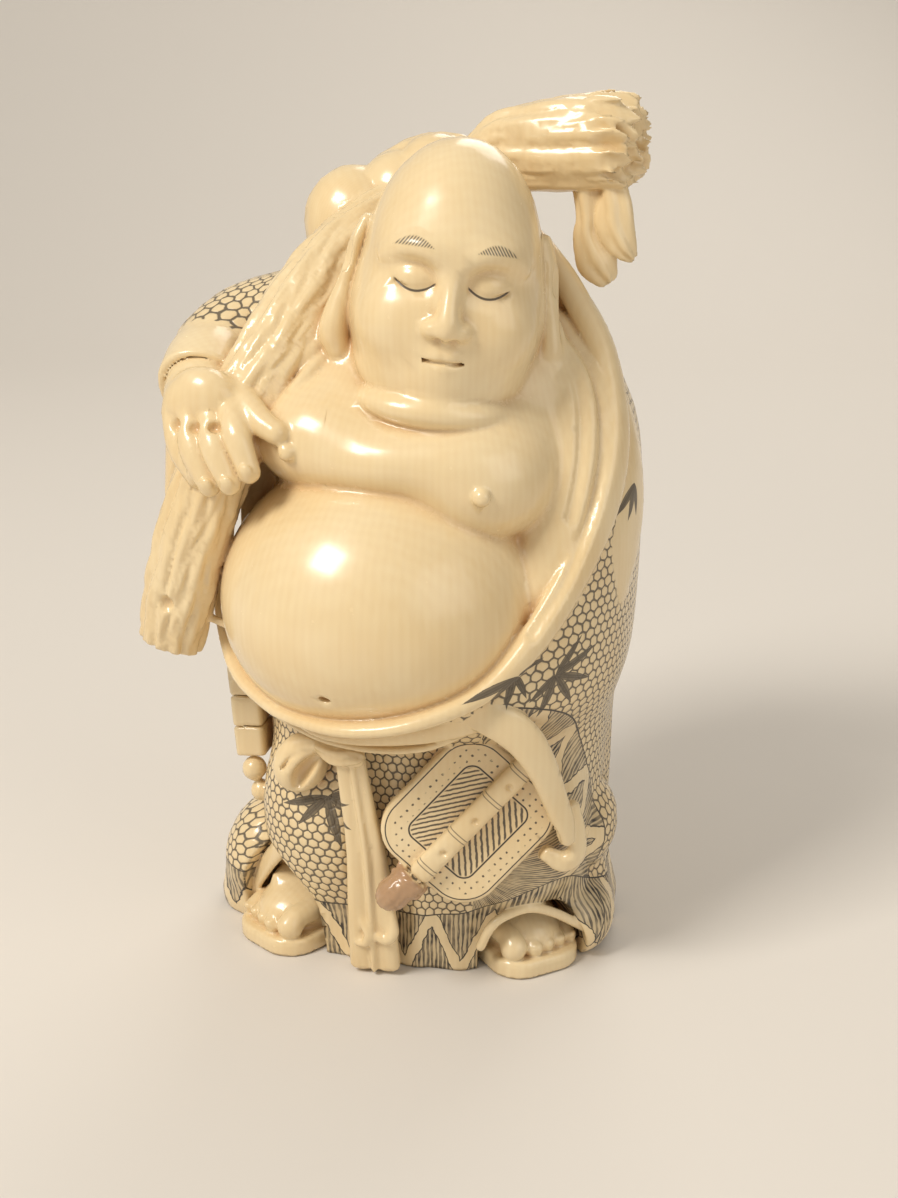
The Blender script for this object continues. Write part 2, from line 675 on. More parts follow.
for side in (-1, 1):
    ear = [[side * 14.8, 2, 6.5, 1.1, 2.2], [side * 16.2, 1.6, 2, 1.4, 2.8], [side * 16.9, 0.8, -3, 1.5, 2.6],
           [side * 17.8, 0.2, -8, 2.3, 3.2], [side * 18.2, -0.2, -12, 2.7, 3.6], [side * 17.2, -0.6, -14.8, 2.2, 2.8]]
    head.add(limb(ear, steps=6, within=HEAD), 0.5)
    head.cut(egg([side * 17.8, -0.4, 1.4], [1.2, 1.7, 3.6], within=HEAD), 0.5)


def face_marks():
    """Ink on the face: two brows of short strokes and a fine line along each lowered lid."""
    drawing = Drawing("face_marks", ["X", "Y", "Z"], ["Ink"])
    across, out, up = own_axes(HEAD, *(drawing.given[axis] for axis in "XYZ"))
    aside = abs(across)
    in_front = out.below(-8.0, 1.0)
    brow_arc = (aside - 6.4) * (aside - 6.4) * -0.085 + 6.3
    taper = (aside - 6.6) * (aside - 6.6) * -0.07 + 0.72
    hairs = (aside * 13 + up * 9).sum("SINE") * 0.5 + 0.55
    brow = (taper - abs(up - brow_arc)).above(0.0, 0.3) * hairs * 0.85
    lid_arc = (aside - 5.9) * (aside - 5.9) * 0.13 - 1.5
    lash = (0.2 - abs(up - lid_arc)).above(0.0, 0.12) * aside.above(2.6, 0.3) * aside.below(9.1, 0.5)
    return drawing.gives(Ink=brow.either(lash * 0.9) * in_front)


FACE_MARKS = face_marks()
HEAD_BOX = (np.array([-18, -38, 96.0]), np.array([30, 12, 150.0]))
plain.add((HEAD_BOX, kept_in(head)), 0.8)
for groove in (
    [[21.6, -3, 123.6], [26.8, -6.6, 117], [31, -10, 108.6], [33, -14.6, 99], [32.4, -19, 89], [29.6, -25, 79], [24.6, -31, 71]],
    [[20, -5, 119.6], [24.6, -9.6, 112.6], [28.2, -13.6, 104.6], [30, -18, 96], [29.8, -22, 87]],
):
    plain.cut(limb([p + [0.7, 1.1] for p in laid(groove, lift=0.5)], outwards, steps=6), 1.2)

# The arm that holds the branch: a wide sleeve with a plain turned-back cuff,
# the rest of its cloth hanging down behind the hand.
cloth.add(limb([[-20, 4, 112.6, 12, 11], [-30, 2, 109, 12, 12], [-34.4, -4, 107.6, 10, 10]], (0, 0, 1), steps=6), 2.5)


def half_space(at, out, box):
    """Everything beyond a plane through `at` that faces `out`, within a box."""
    out = np.array(out) / np.linalg.norm(out)
    level = float(np.dot(at, out))
    return box, lambda x, y, z: level - (x * out[0] + y * out[1] + z * out[2])


cuff = Block()
CUFF_BOX = (np.array([-47, -28, 92.0]), np.array([-20, 0, 120.0]))
cuff.add(limb([[-35.6, -8, 108.6, 7.2, 7], [-35.2, -13, 107.4, 7.4, 7], [-34.6, -20, 105, 7, 6.8]], (0, 0, 1), square=2.2))
cuff.cut(half_space([-34.4, -18.6, 105.4], (0.1, -0.94, -0.32), CUFF_BOX), 0.5)
cuff.cut(limb([[-34.6, -16.4, 106, 6.1, 5.9], [-34, -26, 103, 6.1, 5.9]], (0, 0, 1)), 0.3)
plain.add((CUFF_BOX, kept_in(cuff)), 0.3)
plain.add(limb([[-35.5, -4, 105, 11, 7], [-39.5, -6, 96, 10, 5], [-42, -9, 84, 6.5, 3]], (-1, 0, 0), steps=6), 1.5)
HAND_FACING = (-0.35, -0.85, 0.4)
plain.add(limb([[-34.8, -12, 107, 6, 5.7], [-34, -19, 105.4, 6.2, 5.4], [-32, -24, 104, 6.8, 5]], (0, 0, 1)), 0.15)
plain.add(egg([-30.6, -25, 103.4], [7.2, 5, 7.6], (25, 8, -12)), 1.2)
FINGERS = [
    [[-36.2, -25.6, 102.6], [-34.4, -28.8, 97.2], [-31, -30.6, 92.6]],
    [[-32.8, -27.6, 102.4], [-31.4, -31.0, 97.4], [-28.2, -32.8, 91.8]],
    [[-29.0, -28.6, 102.6], [-27.2, -32.4, 98.2], [-24.2, -34.0, 92.6]],
    [[-25.6, -28.4, 103.6], [-23.2, -32.4, 100.2], [-20.8, -34.0, 94.8]],
]
for knuckle, middle, tip in FINGERS:
    plain.add(limb([knuckle + [2.6, 2.5], middle + [2.4, 2.3], tip + [1.95, 1.75]], HAND_FACING), 0.15)
    nail = [tip[0] - 0.1, tip[1] - 1.35, tip[2] + 0.4]
    plain.add(egg(nail, [1.35, 0.8, 1.7], (25, 0, -10)), 0.12)
for x, y, z in ([-34.6, -29.6, 101.2], [-30.9, -31.2, 101.2], [-27.2, -32.0, 101.6]):
    plain.cut(egg([x, y, z], [1.1, 1, 0.9]), 0.7)
THUMB = [[-27, -23, 106.4, 3, 3], [-23.6, -26.6, 104.6, 2.7, 2.6], [-20, -29.6, 102.4, 2.3, 2.3], [-17, -31, 101, 2, 2]]
plain.add(limb(THUMB), 0.9)

# The branch over the shoulder: a crooked limb of a tree with its bark left on,
# sawn flat at the foot and broken into a ragged burr at the top.
BRANCH = 6.4


def bark(length, angle):
    """Ridges of bark that run along the branch, each broken into short lens-shaped scales."""
    bend = 0.8 * np.sin(0.16 * length) + 0.35 * np.sin(0.45 * length + angle)
    ridge = np.abs(np.sin(5 * angle + bend))
    scales = np.abs(np.sin(0.42 * length + 2.6 * np.sin(5 * angle + bend)) * np.sin(8.5 * angle - 0.09 * length))
    return 0.62 * ridge + 0.5 * np.sqrt(scales) - 0.8


branch = [[-42.5, -22.5, 54, 5.6, 4.6], [-41, -23, 58, 5.6, 4.6], [-37.5, -25.5, 70, BRANCH, 5],
          [-34, -26, 82, BRANCH + 0.2, 5.4], [-29, -24.5, 95, BRANCH, 5.8], [-23.5, -19.5, 107, BRANCH + 0.2, BRANCH],
          [-18.5, -12, 117, BRANCH + 0.6, BRANCH], [-13, -3, 126, BRANCH, BRANCH], [-4, 8, 133, BRANCH, BRANCH],
          [8, 11, 139, BRANCH - 1, BRANCH - 1], [14, 10.5, 142, BRANCH - 1, BRANCH - 1]]
wood = Block()
wood.add(limb(branch, relief=bark), 0.4)
burr = [[9, 11.8, 140.4, 4.6, 4.8], [15, 10.6, 143.4, 6.8, 6.8], [20, 9.4, 144.2, 7.6, 7.4],
        [25, 8.4, 144.8, 8.2, 7.9], [29.6, 7.6, 145.2, 8.4, 7.9]]
burr_box, burr_distance = limb(burr, (0, 0, 1), square=3, relief=bark)


def broken(x, y, z):
    """The burr, with the wood torn into teeth and hollows over its end."""
    torn = np.clip((x + 0.25 * (z - 146) - 29.5) / 3, 0, 1)
    teeth = np.abs(np.sin(0.9 * z + 1.1 * np.sin(0.8 * y)) * np.sin(1.05 * y + 0.8 * np.sin(0.7 * z + 0.5 * x)))
    return burr_distance(x, y, z) + torn * (2.6 * teeth - 0.7 + 0.4 * np.sin(2.1 * z + 1.7 * y))


wood.add((burr_box, broken), 1)
wood.cut(egg([36, 4, 152.6], [2.4, 2.4, 1.6]), 0.5)
wood.cut(egg([37.4, 6, 147], [1.6, 2.6, 3.2]), 0.6)
wood.cut(egg([36.2, 2.4, 141.6], [1.8, 2, 1.8]), 0.6)


wood.cut(half_space([-41, -23, 60.2], (-0.29, 0, -0.957), (np.array([-48, -34, 48.0]), np.array([-30, -10, 66.0]))), 0.4)
wood.cut(egg([-38.2, -30.6, 69.6], [1.4, 1.6, 1.7]), 0.3)
wood.cut(egg([-36.2, -30.6, 65.8], [0.9, 1, 1]), 0.3)
WOOD_BOX = (np.array([-48, -34, 50.0]), np.array([42, 20, 156.0]))
plain.add((WOOD_BOX, kept_in(wood)), 0.4)
plain.add(limb([[-34, -24, 66, 0.7, 0.7], [-26, -26, 64, 0.7, 0.7]]), 0.5)

# The sack on the back: a full cloth bag tied to the branch, its neck gathered into pleats
# and two ends of the tie hanging from the burr.


def pleats(length, angle):
    rise = swell(length, 20, 110)
    return rise * (0.7 * np.sin(9 * angle + 0.04 * length) + 0.4 * np.sin(5 * angle + 1.3 - 0.03 * length))


sack = [[-6, 22, 66, 14, 10], [-6, 24, 80, 22, 15], [-6, 24, 98, 25, 17], [-5, 22, 116, 22, 16],
        [-2, 18, 131, 15, 12], [4, 14, 138, 8, 7]]
plain.add(limb(sack, (0, 1, 0), relief=pleats), 1)
for at, radii, turn in [
    ([-13.4, 10, 129.6], [9.8, 9, 11.2], (0, -18, 10)),
    ([-6, 11.6, 135.6], [7.6, 7.5, 7.6], (0, -24, 0)),
    ([0.4, 12.4, 138], [7.4, 7.5, 8.2], (0, -10, 0)),
    ([6.4, 12.6, 137.6], [5.6, 6.4, 7.8], (0, 12, 0)),
]:
    plain.add(egg(at, radii, turn), 0.5)
plain.cut(limb([[-8, 2, 133.6, 1.4, 1.6], [-13, 2.6, 129.6, 1.8, 2.2], [-17.6, 2.4, 125.4, 1.5, 1.8]]), 1.6)


def creases(length, angle):
    return 0.3 * np.sin(4 * angle + 0.2 * length)


for end in (
    [[28.4, 5, 138, 2.6, 2.2], [28.8, 4.6, 133, 2, 1.8], [28.8, 4.4, 129.6, 2.4, 1.8], [30.4, 4.2, 125.6, 3.4, 1.9],
     [32, 4.2, 123, 2.2, 1.4]],
    [[32.6, 4.6, 139, 2.2, 2.2], [33.2, 3.6, 135, 2.9, 2], [33.6, 3.2, 131.5, 3, 1.9], [35, 3.2, 128.4, 2.2, 1.6],
     [36.2, 3.4, 126.8, 1.1, 1]],
):
    plain.add(limb(end, relief=creases), 0.5)

# The fan at the waist: a flat oblong war fan with a rod down its middle and a knob at its foot,
# hung from a wide strap that is tucked under the edge of the robe.
FAN = {"width": 24.2, "length": 27, "thickness": 2.8, "corner": 7}
FAN_FRAME = (Matrix.Translation((14.8, -29, 33.4)) @ Euler([math.radians(a) for a in (85, 0, 13)], "XYZ").to_matrix().to_4x4()
             @ Matrix.Rotation(math.radians(-43), 4, "Z"))


def slab(at, half, corner, edge, within):
    """A plate with rounded corners and softened edges; `half` is its half-size."""
    axes = np.array(within.to_3x3())
    middle = np.array(within @ Vector(at))
    reach = np.abs(axes) @ np.array(half)

    def distance(x, y, z):
        u, v, w = (axes[0][k] * (x - middle[0]) + axes[1][k] * (y - middle[1]) + axes[2][k] * (z - middle[2]) for k in range(3))
        a, b = np.abs(u) - half[0] + corner, np.abs(v) - half[1] + corner
        flat = np.hypot(np.maximum(a, 0), np.maximum(b, 0)) + np.minimum(np.maximum(a, b), 0) - corner + edge
        tall = np.abs(w) - half[2] + edge
        return np.hypot(np.maximum(flat, 0), np.maximum(tall, 0)) + np.minimum(np.maximum(flat, tall), 0) - edge

    return (middle - reach, middle + reach), distance


half_fan = (FAN["width"] / 2, FAN["length"] / 2, FAN["thickness"] / 2)
plain.add(slab([0, 0, 0], half_fan, FAN["corner"], 0.6, FAN_FRAME), 0.4)
rod_end, rod_top = -13.2, 14
rod_height = FAN["thickness"] / 2 + 0.9
fan_out = tuple(FAN_FRAME.to_3x3() @ Vector((0, 0, 1)))
rod = Block()
ROD_BOX = (np.array([0, -38, 16.0]), np.array([32, -20, 48.0]))
rod.add(limb([[0, rod_end + 1.5, rod_height, 2.1, 1.5], [0, rod_top, rod_height, 2.1, 1.5]], fan_out, square=3, steps=2, within=FAN_FRAME))
for hole in (-6.5, 1.5, 10):
    rod.cut(egg([0.2, hole, rod_height + 1.7], [0.75, 0.75, 1], within=FAN_FRAME), 0.25)
plain.add((ROD_BOX, kept_in(rod)), 0.3)


def twist(length, angle):
    return 0.25 * np.sin(2 * angle + 3.2 * length)


for step in (0, 1.3):
    coil = [[x, -14.3 - step, rod_height + lift, 0.85, 0.85] for x, lift in ((-2.9, -1.2), (-1.8, 0.9), (-0.6, 1.7), (0.8, 1.6), (1.9, 0.4), (2.4, -1.2))]
    plain.add(limb(coil, fan_out, relief=twist, within=FAN_FRAME), 0.2)


def scored(length, angle):
    return 0.12 * np.sin(11 * angle + 1.4 * length)


plain.add(limb([[-0.7, -16.4, rod_height, 2.7, 2.7], [-0.8, -18, rod_height, 3, 2.9], [-0.9, -19, rod_height - 0.3, 2.6, 2.6]],
               fan_out, relief=scored, within=FAN_FRAME), 0.3)
strap = [[15.6, -35.6, 57, 2.4, 1.5], [19.4, -35.4, 55.6, 2.9, 1.5], [22.6, -34.6, 54, 3.3, 1.5], [25.6, -33, 50.6, 3.2, 1.5],
         [28.2, -31, 44.8, 2.7, 1.5], [30, -29, 38.6, 2.3, 1.5], [31.2, -27.6, 34, 2, 1.5], [31.8, -26.8, 30.6, 1.3, 1.4]]
plain.add(limb(strap, outwards, square=3, steps=7), 0.3)
tail = [[32.6, -25.4, 36, 1.1, 1.2], [33.4, -24.8, 31, 1.5, 1.2], [33.2, -24.6, 26.6, 1.8, 1.3], [31, -25, 25, 1.9, 1.3],
        [28.4, -26, 26.6, 1.4, 1.2]]
plain.add(limb(tail, outwards, square=3, steps=6), 0.3)
plain.cut(limb([[29.8, -28.4, 33.4, 0.5, 0.8], [30.4, -28, 30.6, 0.6, 0.9], [30.2, -27.6, 28.2, 0.5, 0.8]]), 0.3)


def fan_marks():
    """The fan's engraving: a line inside its rim, dots round a hatched panel, and rings on the rod.
    `Brown` is the stain on the knob and its collar."""
    drawing = Drawing("fan_marks", ["X", "Y", "Z"], ["Ink", "Brown"])
    across, length, out = own_axes(FAN_FRAME, *(drawing.given[axis] for axis in "XYZ"))
    corner = FAN["corner"]
    face = FAN["thickness"] / 2
    a, b = abs(across) - (FAN["width"] / 2 - corner), abs(length) - (FAN["length"] / 2 - corner)
    a0, b0 = a.either(0), b.either(0)
    edge = corner - (a0 * a0 + b0 * b0).sum("SQRT") - a.either(b).least(0)
    on_face = out.above(face - 1.0, 0.3) * out.below(face + 0.5, 0.2)
    rim = abs(edge - 0.8).below(0.11, 0.09)
    panel = abs(edge - 4.9).below(0.15, 0.1)
    strokes = drawing.noise(drawing.point(across, length, 0.0), 0.8)
    lean = 1.45 - across.above(0, 0.2) * 0.5
    barbs = (length + abs(across) * lean + strokes * 0.6) * 4.4
    hatch = barbs.sum("SINE").above(0.45 - strokes * 0.3, 0.5) * edge.above(5.2, 0.3)
    pitch = 1.5
    du = (across + strokes * 0.5).sum("WRAP", pitch / 2, -pitch / 2)
    dv = (length + 0.8 + strokes * 0.5).sum("WRAP", pitch / 2, -pitch / 2)
    dots = (du * du + dv * dv).below(0.05, 0.04) * edge.above(1.8, 0.2) * edge.below(4.3, 0.2) * strokes.above(0.42, 0.1)
    on_rod = out.above(face + 0.9, 0.3) * abs(across).below(2.4, 0.2)
    rings = None
    for place in (-10.4, -2.6, 6.2, 13.0):
        for step in (-0.36, 0.36):
            ring = abs(length - (place + step)).below(0.1, 0.08)
            rings = ring if rings is None else rings.either(ring)
    ink = (rim.either(panel).either(hatch * 0.9).either(dots * 0.9) * on_face).either(rings * on_rod * 0.7)
    knob = length.below(-13.4, 0.3) * length.above(-23, 0.5) * abs(across).below(4.2, 0.3) * abs(out - 2.3).below(4, 0.4)
    return drawing.gives(Ink=ink, Brown=knob)


FAN_MARKS = fan_marks()

# The sash: a soft belt tied in one bow in front, its end hanging down to the hem.
bow = Block()
BOW_BOX = (np.array([-24, -36, 32.0]), np.array([-2, -22, 50.0]))
bow.add(egg([-15.4, -28.4, 41], [4.9, 3.4, 5.5], (0, 20, 20)))
bow.add(limb([[-15.4, -29, 44.4, 2.4, 2], [-12, -30, 45.6, 1.8, 1.6], [-8.6, -31.4, 45.6, 1.5, 1.4]]), 1)
bow.cut(limb([[-10, -31.6, 44, 0.8, 1.8], [-12.6, -31.4, 42.4, 1.3, 2.4], [-14.6, -31.2, 40, 1.5, 2.2], [-15.4, -31, 37.8, 0.8, 1.2]]), 0.7)
bow.cut(limb([[-12, -31.8, 44.8, 0.3, 0.8], [-15.6, -32, 43.8, 0.35, 0.8], [-18, -31.4, 41, 0.3, 0.7]]), 0.5)
plain.add((BOW_BOX, kept_in(bow)), 0.4)


def gathers(length, angle):
    return 0.25 * np.sin(5 * angle + 0.8 * length)


plain.add(limb([[-10.4, -31, 45.8, 1.5, 1.6], [-7.4, -32.2, 45, 2, 1.8], [-4, -33, 45.2, 1.6, 1.6]], relief=gathers), 0.3)


def long_folds(length, angle):
    """Three soft folds down the sash."""
    return 0.42 * np.sin(5.4 * np.cos(angle) + 0.6 + 0.02 * length)


sash_line = [[-5.4, -31.6, 46, 2.4, 1.5], [-4.4, -31, 37, 2.7, 1.6], [-3.2, -30, 26, 3.3, 1.7], [-2.7, -29, 14, 4.1, 1.8],
             [-2.6, -28.2, 6, 4.3, 1.7], [-2.6, -27.6, 2.4, 4.4, 1.6]]
cloth.cut(limb([[p[0] + 1.2, p[1] + 2.4, p[2], p[3] + 1.5, 1.6] for p in sash_line[:4]], square=3), 0.5)
plain.add(limb(sash_line, square=3.4, steps=6, relief=long_folds), 0.3)
for curl in (
    [[-4.4, -30, 12.4, 0.8, 0.8], [-3.2, -30.6, 9.6, 0.9, 0.9], [-3.6, -30.4, 7.6, 0.8, 0.8], [-5, -30, 7.2, 0.7, 0.7]],
    [[1, -29.6, 13, 0.9, 0.9], [1.4, -30, 10, 1.1, 0.9], [0.2, -30.2, 8.4, 1, 0.9], [-1.6, -30.2, 9, 0.8, 0.8]],
):
    plain.add(limb(curl), 0.5)
plain.cut(egg([-4.4, -31.2, 9.4], [0.7, 1.2, 0.9]), 0.3)

# The tiered case at the other hip: three small boxes on a cord with two beads under them.
CASE_FRAME = Matrix.Translation((-30.2, -10.8, 43.7)) @ Euler([math.radians(a) for a in (0, -4, 0)], "XYZ").to_matrix().to_4x4()
for tier in range(3):
    plain.add(slab([0, 0, 6.1 * (tier - 1)], (2.9, 3.8, 2.85), 0.9, 0.35, CASE_FRAME), 0.1)
for at, radii in [([-29.4, -13, 31.8], [2.3, 2.4, 2.4]), ([-28.2, -13, 27.4], [2, 2.1, 2.1])]:
    plain.add(egg(at, radii), 0.5)

# The feet: bare feet on flat sandals, with five round toes each.
SOLE = {"width": 17.5, "thickness": 3.4, "length": 25}
FEET = [(-1, (-19.5, -13.5, 0), -33), (1, (20.5, -12.5, 0), 40)]
for side, at, turn in FEET:
    frame_of_foot = Matrix.Translation(at) @ Euler((0, 0, math.radians(turn)), "XYZ").to_matrix().to_4x4()
    arch = 19 if side < 0 else 12.5
    cloth.cut(egg([-side * 0.5, -6, 2], [9.8, 15, arch], within=frame_of_foot), 0.6)
    t = SOLE["thickness"]
    plain.add(slab([0, 0, t / 2], (SOLE["width"] / 2, SOLE["length"] / 2, t / 2), 6, 0.7, frame_of_foot), 0.3)
    plain.add(egg([0, 1, t + 2.4], [7.8, 11.5, 5.6], within=frame_of_foot), 1)
    leg = [[0, -3, t + 2.2, 7.4, 3], [0.3 * side, 3, t + 4.4, 8.4, 4.6], [0.8 * side, 7, t + 9, 9, 6.4],
           [side, 10, t + 16, 9, 8]]
    plain.add(limb(leg, within=frame_of_foot), 1)
    for toe in range(5):
        big = toe == 0
        x = -side * (5.4 - (0 if big else 1.1) - 2.75 * toe)
        r = 2.5 if big else 1.85 - 0.08 * toe
        reach = -10.8 + 0.55 * max(0, toe - 1) + (0.3 if big else 0)
        plain.add(limb([[x, reach + 6.5, t + r + 1.0, r, r * 0.9], [x, reach + 3, t + r + 0.7, r * 0.9, r * 0.9],
                        [x, reach + r * 0.6, t + r - 0.5, r, r * 1.05]], (0, 0, 1), within=frame_of_foot), 0.25)
        plain.add(egg([x, reach - 0.1, t + r + 0.1], [r * 0.66, 0.9, r * 0.5], (-30, 0, 0), within=frame_of_foot), 0.12)

# The hem: the robe's edge turned up over each foot as a thin plain roll.
EDGES = [
    [[16.7, -26.4, 7], [18.3, -26.4, 10.7], [20.5, -25.4, 12.8], [24.9, -23.4, 14.1], [29, -20.2, 11.9], [33.6, -15.4, 7]],
    [[-21, -20.4, 21], [-25.4, -16.6, 15.4], [-29.8, -13, 8.2], [-33, -10.6, 2.2], [-34, -9.6, -1]],
]
for edge, width in zip(EDGES, (0.9, 2)):
    plain.add(limb([p + [width, 0.9] for p in edge], outwards, steps=6), 0.5)

# The finished carving: the forms join into one surface, cut level where it stands.
field = smooth_least(cloth.field, plain.field, 0.4)
heights = ORIGIN[2] + CELL * np.arange(CELLS[2])
field = np.maximum(field, -heights[None, None, :].astype(np.float32))
for k in range(3):
    edge = [slice(None)] * 3
    for end in (0, -1):
        edge[k] = end
        field[tuple(edge)] = 2
grid = openvdb.FloatGrid()
grid.background = 2.0
grid.copyFromArray(np.clip(field, -2, 2), tolerance=0.001)
grid.transform = openvdb.createLinearTransform(voxelSize=1.0)
points, triangles, quads = grid.convertToPolygons(isovalue=0.0, adaptivity=0.12)
faces = triangles.tolist() + quads.tolist()
mesh = bpy.data.meshes.new("hotei_carving")
mesh.from_pydata(((points * CELL + ORIGIN) * MM).tolist(), [], faces)
carving = bpy.data.objects.new("hotei_carving", mesh)
bpy.context.scene.collection.objects.link(carving)
print("faces", len(faces))
thin = carving.modifiers.new("thin", "DECIMATE")
thin.ratio = min(1, 190000 / (len(triangles) + 2 * len(quads)))
bpy.context.view_layer.update()
carving.data = bpy.data.meshes.new_from_object(carving.evaluated_get(bpy.context.evaluated_depsgraph_get()))
carving.modifiers.clear()
carving.data.polygons.foreach_set("use_smooth", np.ones(len(carving.data.polygons), bool))
print("thin", len(carving.data.polygons))



def soften(values, reach):
    """Averages a grid over a cube `reach` cells each way, three times over."""
    for _ in range(2):
        for axis in range(3):
            total = np.cumsum(values, axis=axis, dtype=np.float32)
            total = np.concatenate([np.zeros_like(total.take([0], axis)), total], axis=axis)
            count = values.shape[axis]
            high = np.minimum(np.arange(count) + reach + 1, count)
            low = np.maximum(np.arange(count) - reach, 0)
            span = (high - low).reshape([-1 if k == axis else 1 for k in range(3)])
            values = (total.take(high, axis) - total.take(low, axis)) / span
    return values


count = len(carving.data.vertices)
places = np.empty(count * 3)
carving.data.vertices.foreach_get("co", places)
places = places.reshape(-1, 3) / MM
small = soften((field < 0).astype(np.float32), round(1.2 / CELL))
wide = soften((field < 0).astype(np.float32), round(3.6 / CELL))
for title, values in [
    ("weave", sampled(np.clip(np.minimum(plain.field - cloth.field, opened.field - 0.9), -3, 3), places)),
    ("crease", sampled(small, places)),
    ("recess", sampled(wide, places)),
]:
    carving.data.attributes.new(title, "FLOAT", "POINT").data.foreach_set("value", values.astype(np.float32))
slopes = []
for k in range(3):
    step = np.zeros(3)
    step[k] = CELL
    slopes.append(sampled(field, places + step) - sampled(field, places - step))
slopes = np.stack(slopes, 1)
slopes[places[:, 2] < 0.3] = (0, 0, -1)
slopes /= np.linalg.norm(slopes, axis=1)[:, None] + 1e-9
carving.data.normals_split_custom_set_from_vertices(slopes.tolist())


